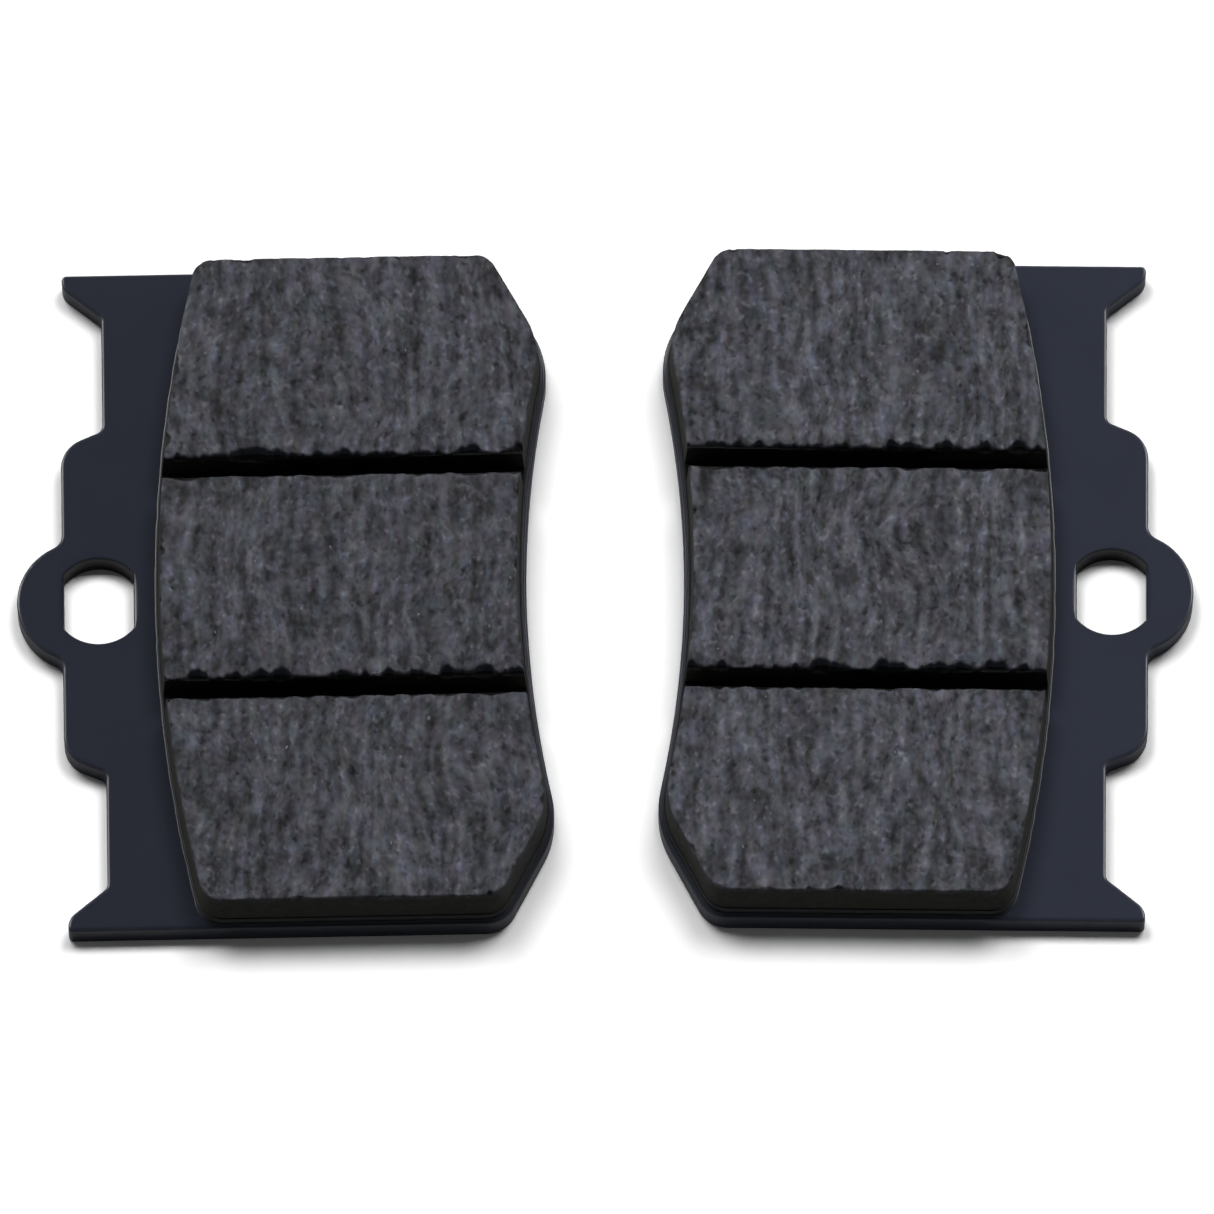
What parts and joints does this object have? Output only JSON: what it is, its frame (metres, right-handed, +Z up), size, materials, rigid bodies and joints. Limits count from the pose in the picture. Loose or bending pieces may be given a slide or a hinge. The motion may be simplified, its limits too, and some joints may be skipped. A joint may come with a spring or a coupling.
{
  "type": "disc brake pad pair",
  "caption": "Disc brake pads of a motorcycle caliper: coated steel backing plates with horns and a pinned tab, and slotted friction blocks, laid face up.",
  "frame": {"origin": "middle of the pair's bounding box, on the surface that the backing plates lie on", "axes": "+X from the left pad to the right pad, +Y along the pads away from the viewer, +Z up out of the friction faces"},
  "size_m": [0.118, 0.0714, 0.0094],
  "materials": {
    "coated_plate": "satin",
    "bond_film": "matte",
    "underlayer": "matte",
    "friction_material": "matte"
  },
  "bodies": {
    "root": {"left_backing_plate": "coated_plate", "left_bond_film": "bond_film", "left_underlayer": "underlayer", "left_friction_block": "friction_material", "right_backing_plate": "coated_plate", "right_bond_film": "bond_film", "right_underlayer": "underlayer", "right_friction_block": "friction_material"}
  },
  "joints": []
}
